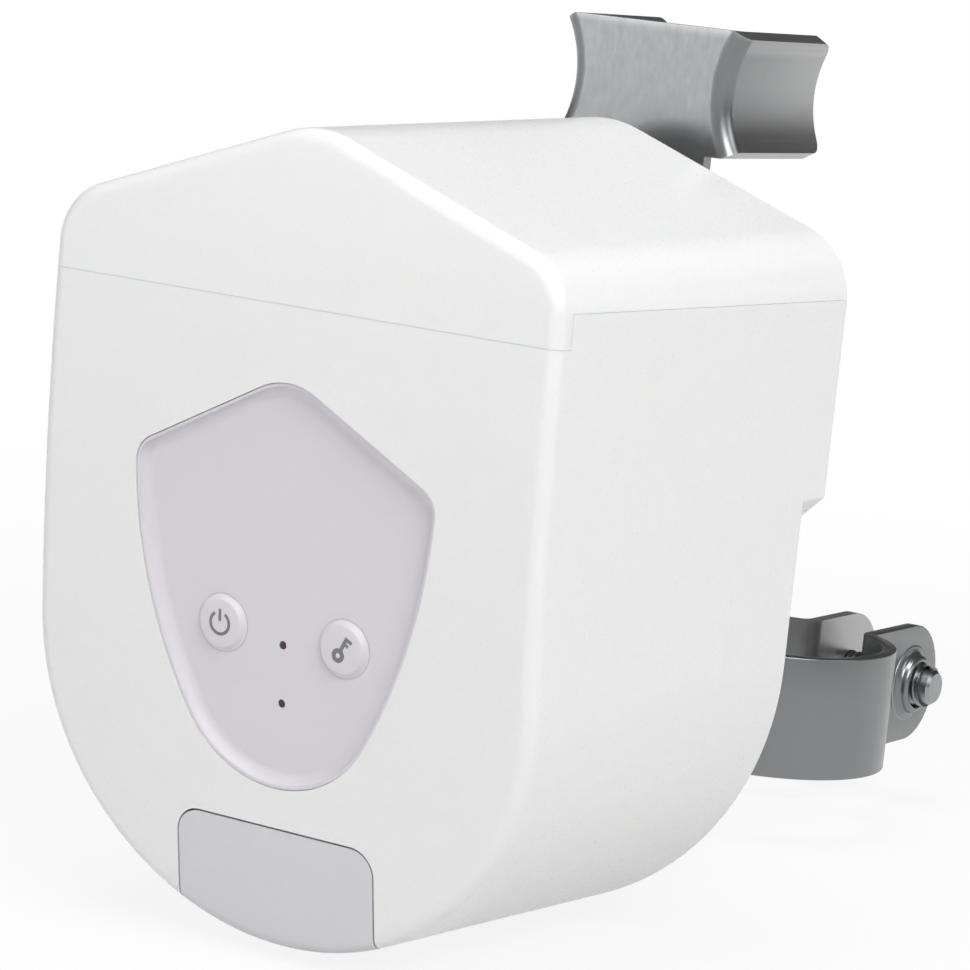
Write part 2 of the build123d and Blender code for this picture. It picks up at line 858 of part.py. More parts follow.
gearbox_screw_end = rear_plate_end + gearbox_screw_bite
with BuildPart() as gearbox_screws:
    add(rods(screw_head_radius, front_plate - screw_head_height, front_plate, *pillar_points))
    add(rods(screw_radius, front_plate, gearbox_screw_end, *pillar_points))
save(gearbox_screws.part, "gearbox_screws")
save(rods(axle_radius, front_plate, rear_plate_end, *axle_points), "gear_axles")

# Rear cover with the output boss, the hooks and the latch window
mount_depth = lower_depth + fit_gap / 2
mount_back = mount_depth + mount_wall
hook_start = mount_back + hook_gap
hook_end = hook_start + hook_wall
latch_front = cover_front - running_gap * 2 - latch_wall
latch_foot = mount_foot - hook_gap - latch_nose_height
latch_point = (0, latch_foot + latch_height / 2)
latch_width = 2 * latch_half_width
inlet_at = (inlet_across, inlet_height)
lower_screw_points = cover_screw_points[2:]
upper_screw_points = cover_screw_points[:2] + cap_screw_points
with BuildPart() as cover_pocket:
    add(envelope(wall + fit_gap + cover_wall, upper_depth - cover_wall))
    cut(below_step(cover_wall * sqrt(2), cover_front - overrun))
with BuildPart() as rear_cover:
    add(cover_core)
    cut(blocks(4 * half_width, 4 * half_width, -upper_depth, cover_front, (0, 0)))
    cut(below_step(0, lower_depth))
    cut(cover_pocket.part)
    add(rods(boss_radius, bush_start, boss_end, output_at))
    fillet(rear_cover.edges().filter_by(GeomType.CIRCLE).sort_by(Axis.Y)[-1], radius=boss_round)
    add(rods(plate_pad_radius, rear_plate_end, cover_front, *pillar_points[2:]))
    add(rods(plate_pad_radius, rear_plate_end, upper_depth - cover_wall, *pillar_points[:2]))
    add(rods(screw_post_radius, cover_front, upper_depth - cover_wall, *upper_screw_points))
    hook_width = 2 * hook_half_width
    hook_foot = mount_top + hook_gap
    lip_drop = hook_gap + hook_lip
    for across in (-hook_across, hook_across):
        add(blocks(hook_width, hook_wall, cover_front, hook_end, (across, hook_foot + hook_wall / 2)))
        add(blocks(hook_width, hook_wall + lip_drop, hook_start, hook_end,
                   (across, hook_foot + (hook_wall - lip_drop) / 2)))
    for across in (-1, 1):
        add(blocks(rail_wall, latch_height, latch_front, cover_front,
                   (across * (latch_half_width + fit_gap + rail_wall / 2), latch_foot + latch_height / 2)))
    cut(rods(bush_radius, bush_start, boss_end, output_at))
    cut(rods(screw_radius, rear_plate_end, gearbox_screw_end, *pillar_points))
    cut(rods(screw_radius, cover_front, upper_depth, *lower_screw_points, *upper_screw_points))
    cut(rods(screw_head_radius, lower_depth - screw_sink, upper_depth, *lower_screw_points))
    cut(rods(screw_head_radius, upper_depth - screw_sink, upper_depth, *upper_screw_points))
    cut(rods(inlet_radius, cover_front, lower_depth, inlet_at))
    window_foot = latch_foot - tab_travel - hook_gap
    window_top = mount_foot
    cut(blocks(2 * (latch_half_width + fit_gap), window_top - window_foot, cover_front, lower_depth,
               (0, (window_top + window_foot) / 2)))
    add(blocks(2 * peg_half_width, peg_height, cover_front - latch_wall, cover_front,
               (0, spring_foot - peg_height / 2)))
save(rear_cover.part, "rear_cover")

with BuildPart() as cover_screws:
    for points, back in ((lower_screw_points, lower_depth), (upper_screw_points, upper_depth)):
        add(rods(screw_head_radius, back - screw_sink, back - screw_sink + screw_head_height / 2, *points))
        add(rods(screw_radius, cover_front - screw_length + overrun, back - screw_sink, *points))
save(cover_screws.part, "cover_screws")

# Power inlet
inlet_seat = lower_depth
with BuildPart() as power_inlet:
    add(rods(inlet_flange_radius, inlet_seat, inlet_seat + inlet_flange_wall, inlet_at))
    add(rods(inlet_radius, inlet_seat - inlet_length, inlet_seat, inlet_at))
    socket_floor = inlet_seat - inlet_length + inlet_flange_wall
    cut(rods(inlet_socket_radius, socket_floor, inlet_seat + inlet_flange_wall, inlet_at))
    add(rods(inlet_pin_radius, inlet_seat - inlet_length, inlet_seat, inlet_at))
save(power_inlet.part, "power_inlet")

# Release tab with its bar, and the latch that it draws down
with BuildPart() as tab_shell:
    add(shell.part)
    cut(cavity)
    add(tab_space(0, tab_lip_depth), mode=Mode.INTERSECT)
save(tab_shell.part, "push_tab")

bar_end = latch_front - tab_travel - hook_gap
bar_foot = release_bar_top - release_bar_wall
with BuildPart() as release_bar:
    with BuildSketch(side):
        with BuildLine():
            Polyline((face_depth(bar_foot, wall), bar_foot), (bar_end - bar_nose, bar_foot),
                     (bar_end, bar_foot + bar_nose), (bar_end, release_bar_top),
                     (face_depth(release_bar_top, wall), release_bar_top), close=True)
        make_face()
    extrude(amount=release_bar_half_width, both=True)
save(release_bar.part, "release_bar")

ramp_rise = bar_foot + bar_nose - running_gap * 2 - latch_foot
with BuildPart() as latch:
    add(blocks(latch_width, latch_height, latch_front, latch_front + latch_wall, latch_point))
    nose_point = (0, latch_foot + latch_nose_height / 2)
    add(blocks(latch_width, latch_nose_height, latch_front, hook_end, nose_point))
    lip_height = latch_nose_height + hook_gap + latch_lip
    add(blocks(latch_width, lip_height, hook_start, hook_end, (0, latch_foot + lip_height / 2)))
    with BuildSketch(side):
        with BuildLine():
            ramp_top = latch_foot + ramp_rise + tab_travel + hook_gap
            Polyline((latch_front, ramp_top), (latch_front - (ramp_top - latch_foot), latch_foot),
                     (latch_front, latch_foot), close=True)
        make_face()
    extrude(amount=release_bar_half_width, both=True)
    slot_top = spring_foot + spring_length
    slot_foot = spring_foot - peg_height - hook_gap
    cut(blocks(2 * (peg_half_width + fit_gap), slot_top - slot_foot, latch_front - overrun, cover_front,
               (0, (slot_top + slot_foot) / 2)))
save(latch.part, "latch")

# Washer and bolt that hold the fork on the shaft
with BuildPart() as fork_washer:
    add(rods(shaft_washer_radius, fork_back, bolt_seat, output_at))
    cut(rods(shaft_bolt_radius, fork_back, bolt_seat, output_at))
save(fork_washer.part, "fork_washer")
with BuildPart() as fork_bolt:
    add(rods(shaft_bolt_radius, bolt_end, bolt_seat, output_at))
    with BuildSketch(body.offset(-bolt_seat)):
        with Locations(output_at):
            RegularPolygon(shaft_bolt_head_radius, hexagon, major_radius=False)
    extrude(amount=shaft_bolt_head_height, dir=BACK)
save(fork_bolt.part, "fork_bolt")

# Fork: one bent sheet with two bowed flanges, a neck and a hub with a square hole
bow_across = fork_waist + fork_bow_radius
fork_end = fork_depth + fork_length
inner_bow = fork_bow_radius + fork_sheet
corner_across = bow_across - inner_bow * cos(radians(fork_bow_angle))
corner_height = inner_bow * sin(radians(fork_bow_angle))
with BuildSketch() as fork_outline:
    with BuildLine():
        bow_sweep = 2 * fork_bow_angle
        right_bow = CenterArc((bow_across, fork_height), fork_bow_radius, 180 - fork_bow_angle, bow_sweep)
        left_bow = CenterArc((-bow_across, fork_height), fork_bow_radius, -fork_bow_angle, bow_sweep)
        Polyline(left_bow @ 1, (-corner_across, fork_height + corner_height),
                 (corner_across, fork_height + corner_height), right_bow @ 0)
        Polyline(right_bow @ 1, (corner_across, fork_height - corner_height),
                 (-corner_across, fork_height - corner_height), left_bow @ 0)
    make_face()
bow_centre = body.from_local_coords((bow_across, fork_height, 0))
bow_plane = Plane(origin=bow_centre, x_dir=(-1, 0, 0), z_dir=(0, 0, -1))
with BuildPart() as bow:
    with BuildSketch(bow_plane) as bow_profile:
        with BuildLine():
            reach = 2 * bow_across
            Polyline((fork_bow_radius, fork_end), (inner_bow, fork_end), (inner_bow, fork_back),
                     (reach, fork_back), (reach, fork_depth), (fork_bow_radius, fork_depth), close=True)
        make_face()
        bend(bow_profile, (fork_bow_radius, fork_depth), fork_bend)
        bend(bow_profile, (inner_bow, fork_back), fork_bend - fork_sheet)
    revolve(axis=Axis(bow_plane.origin, BACK))
with BuildPart() as fork:
    add(bow.part)
    add(slab(fork_outline.sketch, fork_depth, fork_end), mode=Mode.INTERSECT)
    with BuildSketch() as half:
        with Locations((0, fork_height)):
            Rectangle(2 * half_width, 2 * half_width, align=(Align.MIN, Align.CENTER))
    add(slab(half.sketch, fork_depth, fork_end), mode=Mode.INTERSECT)
    mirror(about=Plane.YZ)
    fillet(fork.edges().filter_by(GeomType.LINE).group_by(Axis.Y)[-1], radius=fork_corner)
    with BuildSketch() as neck:
        with Locations(output_at):
            Circle(arm_hub_radius)
            Rectangle(2 * neck_half_width, fork_height - output_height, align=(Align.CENTER, Align.MIN))
    add(slab(neck.sketch, fork_depth, fork_back))
    square = shaft_square + 2 * running_gap
    cut(blocks(square, square, fork_depth, fork_back, output_at))
save(fork.part, "fork")

# Mount plate and its rivets
mount_centre = (0, (mount_top + mount_foot) / 2)
rivet_points = tuple((across, height - clamp_drop) for across in (-rivet_across, rivet_across)
                     for height in (-rivet_spacing / 2, rivet_spacing / 2))
foot_back = mount_back + strap
with BuildPart() as mount_plate:
    with BuildSketch() as plate_sketch:
        with Locations(mount_centre):
            RectangleRounded(2 * mount_half_width, mount_top - mount_foot, mount_corner)
    add(slab(plate_sketch.sketch, mount_depth, mount_back))
    cut(rods(rivet_radius, mount_depth, mount_back, *rivet_points))
save(mount_plate.part, "mount_plate")
with BuildPart() as mount_rivets:
    add(rods(rivet_radius, mount_depth, foot_back, *rivet_points))
    add(rods(rivet_head_radius, foot_back, foot_back + rivet_head_height, *rivet_points))
save(mount_rivets.part, "mount_rivets")
rivet_holes = rods(rivet_radius, mount_depth, foot_back + overrun, *rivet_points)

# Clamp jaws, each a strap bent along its path around the pipe
mid_radius = bore_radius + strap / 2
half_height = strap_height / 2
tongue_reach = strap_height / 6 - knuckle_gap / 2
knuckle_start = tongue_reach + knuckle_gap
foot_line = mount_back + strap / 2 - pipe_to_back - lower_depth
curl = pin_radius + running_gap + strap / 2
pin_at = beside((0, 0), mid_radius + curl, pin_angle)
arm_across = arm_half_gap + strap / 2
arm_join = sqrt(mid_radius**2 - arm_across**2)
fixed_join = sqrt(mid_radius**2 - fixed_ear_across**2)
moving_join = sqrt(mid_radius**2 - moving_ear_across**2)
hinge_across = pin_at[0] + curl
slot_line = pin_at[1] - curl - strap / 2 - fit_gap
start_angle = pin_angle + 180


def rounded_ear(sheet):
    """Give the free end of a strap its round outline."""
    fillet(sheet.edges().filter_by(Axis.X).group_by(Axis.Y)[-1], radius=ear_round)


with BuildLine() as fixed_path:
    Polyline((-foot_reach, foot_line), (-arm_across, foot_line), (-arm_across, -arm_join))
    ThreePointArc((-arm_across, -arm_join), (-mid_radius, 0), (fixed_ear_across, fixed_join))
    Line((fixed_ear_across, fixed_join), (fixed_ear_across, ear_end))
    bend(fixed_path, (-arm_across, foot_line), foot_bend)
    bend(fixed_path, (-arm_across, -arm_join), arm_bend)
    bend(fixed_path, (fixed_ear_across, fixed_join), ear_bend)
across_screw = Plane(origin=(0, screw_across, 0), x_dir=(0, 1, 0), z_dir=(1, 0, 0))
with BuildPart() as fixed_jaw:
    add(bent(fixed_path.line, -half_height, half_height))
    rounded_ear(fixed_jaw)
    cut(rivet_holes)
    with BuildSketch(across_screw):
        Circle(clamp_screw_radius + running_gap)
    extrude(amount=-bore_radius, mode=Mode.SUBTRACT)
save(fixed_jaw.part, "fixed_jaw")

with BuildLine() as hinge_path:
    Polyline((foot_reach, foot_line), (arm_across, foot_line), (arm_across, joggle_start),
             (hinge_across, joggle_end), (hinge_across, slot_line))
    bend(hinge_path, (arm_across, foot_line), foot_bend)
    bend(hinge_path, (arm_across, joggle_start), joggle_bend)
    bend(hinge_path, (hinge_across, joggle_end), joggle_bend)
with BuildLine() as hinge_curl:
    Line((hinge_across, slot_line), (hinge_across, pin_at[1]))
    CenterArc(pin_at, curl, 0, curl_angle)
with BuildPart() as hinge_arm:
    add(bent(hinge_path.line, -half_height, half_height))
    add(bent(hinge_curl.line, knuckle_start, half_height))
    add(bent(hinge_curl.line, -half_height, -knuckle_start))
    cut(rivet_holes)
save(hinge_arm.part, "hinge_arm")

with BuildLine() as moving_path:
    strap_start = beside((0, 0), mid_radius, strap_start_angle)
    ThreePointArc(strap_start, (mid_radius, 0), (moving_ear_across, moving_join))
    Line((moving_ear_across, moving_join), (moving_ear_across, ear_end))
    bend(moving_path, (moving_ear_across, moving_join), ear_bend)
with BuildLine() as tongue_path:
    CenterArc((0, 0), mid_radius, pin_angle, strap_start_angle - pin_angle)
    CenterArc(pin_at, curl, start_angle, curl_angle)
with BuildPart() as moving_jaw:
    add(bent(moving_path.line, -half_height, half_height))
    rounded_ear(moving_jaw)
    add(bent(tongue_path.line, -tongue_reach, tongue_reach))
    boss_face = moving_ear_across + strap / 2
    with BuildSketch(Plane(origin=(0, screw_across, 0))) as burr_profile:
        with BuildLine():
            burr_rim = (boss_face + burr_height, burr_top_radius)
            Polyline((moving_ear_across, 0), (moving_ear_across, burr_base_radius),
                     (boss_face, burr_base_radius), burr_rim, (boss_face + burr_height, 0), close=True)
        make_face()
        bend(burr_profile, burr_rim, burr_round)
    revolve(axis=Axis((0, screw_across, 0), (1, 0, 0)))
    with BuildSketch(across_screw):
        Circle(clamp_screw_radius + clamp_screw_play)
    extrude(amount=2 * bore_radius, mode=Mode.SUBTRACT)
save(moving_jaw.part, "moving_jaw")

with BuildPart() as hinge_pin:
    with BuildSketch(pipe.offset(-half_height)):
        with Locations(pin_at):
            Circle(pin_radius)
    extrude(amount=strap_height)
    for height, away in ((-half_height, -pin_head_height), (half_height, pin_head_height)):
        with BuildSketch(pipe.offset(height)):
            with Locations(pin_at):
                Circle(pin_head_radius)
        extrude(amount=away)
save(hinge_pin.part, "hinge_pin")

# Clamp screw and its washer
washer_face = fixed_ear_across - strap / 2
head_face = washer_face - washer_wall
with BuildPart() as clamp_washer:
    with BuildSketch(across_screw.offset(head_face)):
        Circle(washer_radius)
        Circle(clamp_screw_radius + running_gap, mode=Mode.SUBTRACT)
    extrude(amount=washer_wall)
save(clamp_washer.part, "clamp_washer")
with BuildPart() as clamp_screw:
    with BuildSketch(across_screw.offset(head_face - head_height)):
        RegularPolygon(head_across_flats / 2, hexagon, major_radius=False)
    extrude(amount=head_height)
    with BuildSketch(across_screw.offset(head_face)):
        Circle(clamp_screw_radius)
    extrude(amount=clamp_screw_tip - head_face)
    chamfer(clamp_screw.edges().sort_by(Axis.X)[-1], length=screw_chamfer)
save(clamp_screw.part, "clamp_screw")

# Coil spring that lifts the latch
with BuildPart() as latch_spring:
    foot = body.from_local_coords((0, spring_foot + spring_wire, -(latch_front + latch_wall / 2)))
    with BuildLine() as coil:
        Helix(pitch=spring_pitch, height=spring_length - 2 * spring_wire, radius=spring_radius, center=foot)
    with BuildSketch(Plane(origin=coil.line @ 0, z_dir=coil.line % 0)):
        RegularPolygon(spring_wire, hexagon)
    sweep()
save(latch_spring.part, "latch_spring")
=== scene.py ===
"""Looks of a clamp-on motor drive for a water valve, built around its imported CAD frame."""
from math import cos, pi, radians, sin, sqrt

import bmesh
import bpy
from bpy.props import FloatProperty, FloatVectorProperty, IntProperty, PointerProperty
from bpy.types import Operator, Panel, PropertyGroup
from mathutils import Matrix, Vector


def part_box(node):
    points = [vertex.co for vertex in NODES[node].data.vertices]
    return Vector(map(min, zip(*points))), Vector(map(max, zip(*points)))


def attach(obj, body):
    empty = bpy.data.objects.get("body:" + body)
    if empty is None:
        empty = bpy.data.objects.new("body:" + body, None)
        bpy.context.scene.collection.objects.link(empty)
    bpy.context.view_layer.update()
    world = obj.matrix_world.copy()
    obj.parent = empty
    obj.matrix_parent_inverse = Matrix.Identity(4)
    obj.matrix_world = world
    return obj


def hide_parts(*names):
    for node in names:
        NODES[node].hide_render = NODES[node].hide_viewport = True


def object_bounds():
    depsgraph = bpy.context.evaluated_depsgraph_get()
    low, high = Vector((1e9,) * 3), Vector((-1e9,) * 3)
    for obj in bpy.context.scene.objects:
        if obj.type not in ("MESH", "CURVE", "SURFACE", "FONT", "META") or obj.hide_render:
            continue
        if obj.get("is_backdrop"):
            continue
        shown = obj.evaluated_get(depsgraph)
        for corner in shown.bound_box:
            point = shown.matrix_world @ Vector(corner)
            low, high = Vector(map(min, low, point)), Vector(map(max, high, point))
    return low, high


bl_info = {
    "name": "Valve Drive Looks",
    "version": (1, 0, 0),
    "blender": (4, 5, 0),
    "location": "3D View > Sidebar > Drive",
    "description": "Builds the finishes and fine details of a clamp-on valve drive",
    "category": "Object",
}

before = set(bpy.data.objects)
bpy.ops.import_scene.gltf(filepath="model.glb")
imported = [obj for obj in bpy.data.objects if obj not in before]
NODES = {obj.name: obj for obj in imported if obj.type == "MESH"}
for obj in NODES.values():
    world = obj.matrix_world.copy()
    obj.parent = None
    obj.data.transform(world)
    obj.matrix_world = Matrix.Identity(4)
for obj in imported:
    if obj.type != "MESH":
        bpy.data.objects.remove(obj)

# Places and sizes in the drive's frame, in metres: X across, Y from the face to the pipe and
# Z along the pipe
BUTTON_ACROSS = 0.01125
BUTTON_HEIGHT = 0.0280
BUTTON_INSET = 0.0011
PANEL_INSET = 0.00201
FACE_RADIUS = 0.5
FACE_CENTRE_DEPTH, FACE_CENTRE_HEIGHT = 0.33024, 0.0856
SCREW_DEPTH = 0.0370
SCREW_RADIUS = 0.00398
SCREW_CENTRE = (0.0, SCREW_DEPTH, 0.0)
HEAD_HALF_WIDTH = 0.0065
HEAD_HEIGHT = 0.0053
EAR_FACE = 0.0105
EAR_HALF_WIDTH = 0.008
SEAM_FRONT = 0.0786
SEAM_SIDE = 0.0838
SEAM_NEAR = 0.00003
INK_LIFT = 0.00001
INK_DEPTH = 0.00005

# Depth of the finest grain in metres, and the colour of steel whose edges are worn bright
GRAIN_DEPTH = 0.00004
WORN_COLOUR = (0.85, 0.85, 0.86, 1.0)

# The camera's turn around the drive, its rise and its roll in degrees, then its aim, its distance
# and its shift to the right and upwards in metres
CAMERA_ANGLES = (31.4071, 8.2762, 5.9204)
CAMERA_AIM = Vector((0, -0.131, 0.0544))
CAMERA_AWAY = 0.6305591
CAMERA_SHIFT = (0.0106609, -0.0043585)
CAMERA_SENSOR = 36.0
CAMERA_LENS = 3999.8073 / 970 * CAMERA_SENSOR

# Each light's degrees to the right of the drive's face and above the floor, its distance and size
# in metres, and its power in watts
LIGHTS = (
    ("key", 52, 38, 1.5, 0.8, 13.8),
    ("front", -31, 9, 1.3, 0.5, 1.75),
    ("side", 100, 30, 1.4, 0.6, 3.2),
    ("rim", 143, 12, 1.3, 0.25, 0.35),
    ("top", 0, 80, 1.3, 0.6, 10.6),
)
LIGHT_AIM = Vector((0, -0.07, 0.05))
FLOOR_GAP = 0.0004
FLOOR_HALF_WIDTH = 12.0

# Distances, an area and degrees that decide which vertices join and which edges stay sharp
CAD_NEAR = 0.000004
MERGE_NEAR = 0.000002
THREAD_NEAR = 0.000003
FLAT_AREA = 0.00003
ROUNDED_EDGE = 40
SHARP_EDGE = 50


class FinishSettings(PropertyGroup):
    """Colours of the drive's finishes"""

    shell: FloatVectorProperty(
        name="Shell", description="Colour of the moulded white shell", subtype="COLOR", size=3,
        default=(0.755, 0.755, 0.755), min=0.0, max=1.0)
    panel: FloatVectorProperty(
        name="Panel", description="Colour of the sunk panel and its buttons", subtype="COLOR",
        size=3, default=(0.625, 0.607, 0.637), min=0.0, max=1.0)
    tab: FloatVectorProperty(
        name="Release tab", description="Colour of the release tab", subtype="COLOR", size=3,
        default=(0.60, 0.592, 0.614), min=0.0, max=1.0)
    steel: FloatVectorProperty(
        name="Sheet steel", description="Colour of the bent sheet steel", subtype="COLOR", size=3,
        default=(0.23, 0.234, 0.238), min=0.0, max=1.0)
    zinc: FloatVectorProperty(
        name="Zinc", description="Colour of zinc plated screws", subtype="COLOR", size=3,
        default=(0.265, 0.27, 0.276), min=0.0, max=1.0)
    icon: FloatVectorProperty(
        name="Icon", description="Colour of the printed signs", subtype="COLOR", size=3,
        default=(0.17, 0.17, 0.18), min=0.0, max=1.0)


class DetailSettings(PropertyGroup):
    """Sizes of the fine details"""

    sheet_edge: FloatProperty(
        name="Sheet edge", description="Round of the steel sheet's edges", default=0.00035,
        min=0.0001, max=0.001, unit="LENGTH", precision=5)
    seam_close: FloatProperty(
        name="Seam closing", description="How far the roof cap is drawn down into its seam",
        default=0.00006, min=0.0, max=0.00008, unit="LENGTH", precision=6)
    icon_stroke: FloatProperty(
        name="Icon stroke", description="Width of the printed strokes", default=0.00052,
        min=0.0002, max=0.001, unit="LENGTH", precision=5)
    icon_radius: FloatProperty(
        name="Icon radius", description="Radius of the power sign's ring", default=0.00172,
        min=0.001, max=0.003, unit="LENGTH", precision=5)
    lens_radius: FloatProperty(
        name="Lens radius", description="Radius of a light's lens", default=0.00058,
        min=0.0003, max=0.001, unit="LENGTH", precision=5)
    thread_pitch: FloatProperty(
        name="Thread pitch", description="Pitch of the clamp screw's thread", default=0.00125,
        min=0.0005, max=0.002, unit="LENGTH", precision=5)
    thread_depth: FloatProperty(
        name="Thread depth", description="Depth of the clamp screw's thread", default=0.00062,
        min=0.0002, max=0.001, unit="LENGTH", precision=5)
    burr_height: FloatProperty(
        name="Burr height", description="Height of the tapped burr on the clamp's ear",
        default=0.0021, min=0.001, max=0.003, unit="LENGTH", precision=5)
    edge_segments: IntProperty(
        name="Edge segments", description="Steps in a rounded edge", default=3, min=1, max=6)


def nodes_of(material):
    """Node tree of a material, its shader and its links."""
    tree = material.node_tree
    return tree, tree.nodes["Principled BSDF"], tree.links


def add_node(tree, kind, values=None, operation=None):
    """A new shader node with its operation and the values of its inputs."""
    node = tree.nodes.new(kind)
    if operation:
        node.operation = operation
    for name, value in (values or {}).items():
        node.inputs[name].default_value = value
    return node


def finish(name, colour, roughness, metallic=0.0, bump=0.0, grain=900.0, mottle=0.04, spread=0.06,
           stretch=(1.0, 1.0, 1.0), wear=0.0):
    """A procedural finish: fine grain in bump and gloss, slow mottle in colour, and worn edges."""
    material = bpy.data.materials.new(name)
    material.use_nodes = True
    tree, shader, links = nodes_of(material)
    shader.inputs["Metallic"].default_value = metallic
    place = add_node(tree, "ShaderNodeTexCoord")
    turn = add_node(tree, "ShaderNodeMapping", {"Scale": stretch})
    links.new(place.outputs["Object"], turn.inputs["Vector"])

    slow = add_node(tree, "ShaderNodeTexNoise", {"Scale": grain / 14, "Detail": 4.0})
    links.new(turn.outputs["Vector"], slow.inputs["Vector"])
    tint = add_node(tree, "ShaderNodeMapRange",
                    {"To Min": 1.0 - mottle, "To Max": 1.0 + mottle * 0.3})
    links.new(slow.outputs["Fac"], tint.inputs["Value"])
    shade = add_node(tree, "ShaderNodeVectorMath", {0: colour[:3]}, "SCALE")
    links.new(tint.outputs["Result"], shade.inputs["Scale"])
    colour_out = shade.outputs["Vector"]

    if wear:
        edge = add_node(tree, "ShaderNodeNewGeometry")
        ramp = add_node(tree, "ShaderNodeMapRange",
                        {"From Min": 0.52, "From Max": 0.62, "To Max": wear})
        links.new(edge.outputs["Pointiness"], ramp.inputs["Value"])
        mix = add_node(tree, "ShaderNodeMix")
        mix.data_type = "RGBA"
        links.new(ramp.outputs["Result"], mix.inputs["Factor"])
        links.new(colour_out, mix.inputs["A"])
        mix.inputs["B"].default_value = WORN_COLOUR
        colour_out = mix.outputs["Result"]
    links.new(colour_out, shader.inputs["Base Color"])

    fine = add_node(tree, "ShaderNodeTexNoise", {"Scale": grain, "Detail": 3.0})
    links.new(turn.outputs["Vector"], fine.inputs["Vector"])
    gloss = add_node(tree, "ShaderNodeMapRange",
                     {"To Min": roughness - spread, "To Max": roughness + spread})
    links.new(fine.outputs["Fac"], gloss.inputs["Value"])
    links.new(gloss.outputs["Result"], shader.inputs["Roughness"])
    if bump:
        relief = add_node(tree, "ShaderNodeBump", {"Strength": bump, "Distance": GRAIN_DEPTH})
        links.new(fine.outputs["Fac"], relief.inputs["Height"])
        links.new(relief.outputs["Normal"], shader.inputs["Normal"])
    return material


def dress(node, material):
    """Give a CAD node's slots one material."""
    mesh = NODES[node].data
    if not mesh.materials:
        mesh.materials.append(material)
    for slot in NODES[node].material_slots:
        slot.material = material


def new_piece(name, shape, material, body, smooth=True):
    """Turn a bmesh into a shaded piece that rides on a body."""
    bmesh.ops.recalc_face_normals(shape, faces=shape.faces[:])
    return placed(name, shape, material, body, smooth)


def placed(name, shape, material, body, smooth=True):
    """Write a bmesh whose faces already point outwards into a piece that rides on a body."""
    mesh = bpy.data.meshes.new(name)
    shape.to_mesh(mesh)
    shape.free()
    if smooth:
        mesh.shade_smooth()
    mesh.materials.append(material)
    piece = bpy.data.objects.new(name, mesh)
    bpy.context.scene.collection.objects.link(piece)
    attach(piece, body)
    return piece


def merged_copy(node):
    """A bmesh of a CAD node with its loose triangles joined and its flat faces dissolved."""
    shape = bmesh.new()
    shape.from_mesh(NODES[node].data)
    bmesh.ops.remove_doubles(shape, verts=shape.verts[:], dist=CAD_NEAR)
    bmesh.ops.dissolve_limit(shape, angle_limit=radians(0.08), verts=shape.verts[:],
                             edges=shape.edges[:], use_dissolve_boundaries=False, delimit=set())
    return shape


def add_shape(shape, part):
    """Add a finished bmesh to another one."""
    mesh = bpy.data.meshes.new("part")
    part.to_mesh(mesh)
    part.free()
    shape.from_mesh(mesh)
    bpy.data.meshes.remove(mesh)


def shade_plates(shape, least):
    """Shade the flat sides of at least an area flat, and the bends and rounded edges smooth."""
    shape.normal_update()
    left = set(shape.faces)
    for first in shape.faces:
        if first not in left:
            continue
        left.discard(first)
        group, reach = [first], [first]
        while reach:
            for edge in reach.pop().edges:
                for face in edge.link_faces:
                    if face in left and face.normal.angle(first.normal, 1.0) < radians(0.25):
                        left.discard(face)
                        group.append(face)
                        reach.append(face)
        curved = sum(face.calc_area() for face in group) < least
        for face in group:
            face.smooth = curved


def sharp_edges(shape, angle):
    """Edges of a bmesh at which two faces meet at more than an angle."""
    return [edge for edge in shape.edges
            if len(edge.link_faces) == 2 and edge.calc_face_angle(0) > radians(angle)]


def softened(name, node, width, segments, material, body, reshape=None):
    """A copy of a CAD node with rounded edges, which replaces that node."""
    shape = merged_copy(node)
    if reshape:
        reshape(shape)
    bmesh.ops.bevel(shape, geom=sharp_edges(shape, ROUNDED_EDGE), offset=width,
                    offset_type="OFFSET", segments=segments, affect="EDGES", profile=0.5,
                    material=-1, clamp_overlap=True, harden_normals=False)
    shade_plates(shape, FLAT_AREA)
    piece = placed(name, shape, material, body, smooth=False)
    piece.data.set_sharp_from_angle(angle=radians(SHARP_EDGE))
    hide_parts(node)


def face_y(height, inset=0.0):
    """Depth of the curved front, or of a surface behind it, at a height on the pipe's axis."""
    radius = FACE_RADIUS - inset
    return FACE_CENTRE_DEPTH - sqrt(radius**2 - (height - FACE_CENTRE_HEIGHT)**2)


def flat_ring(shape, inner, outer, start=0.0, sweep=360.0, *, steps):
    """Flat arc band around the origin, facing +Z."""
    first = shape.verts.new((inner * cos(radians(start)), inner * sin(radians(start)), 0))
    second = shape.verts.new((outer * cos(radians(start)), outer * sin(radians(start)), 0))
    edge = shape.edges.new((first, second))
    bmesh.ops.spin(shape, geom=[first, second, edge], cent=(0, 0, 0), axis=(0, 0, 1),
                   angle=radians(sweep), steps=steps, use_merge=sweep == 360.0)


def flat_bar(shape, low, high):
    """Flat rectangle between two corners."""
    middle = Matrix.Translation(((low[0] + high[0]) / 2, (low[1] + high[1]) / 2, 0))
    size = Matrix.Diagonal((high[0] - low[0], high[1] - low[1], 1.0, 1.0))
    bmesh.ops.create_grid(shape, x_segments=1, y_segments=1, size=0.5, matrix=middle @ size)


def onto_face(shape, across, height, inset, lift=0.0):
    """Lay a flat shape on the curved front at a place, raised by lift."""
    stand = Matrix.Translation((across, 0, height)) @ Matrix.Rotation(pi / 2, 4, "X")
    bmesh.ops.transform(shape, matrix=stand, verts=shape.verts[:])
    for vert in shape.verts:
        vert.co.y += face_y(vert.co.z, inset) - lift


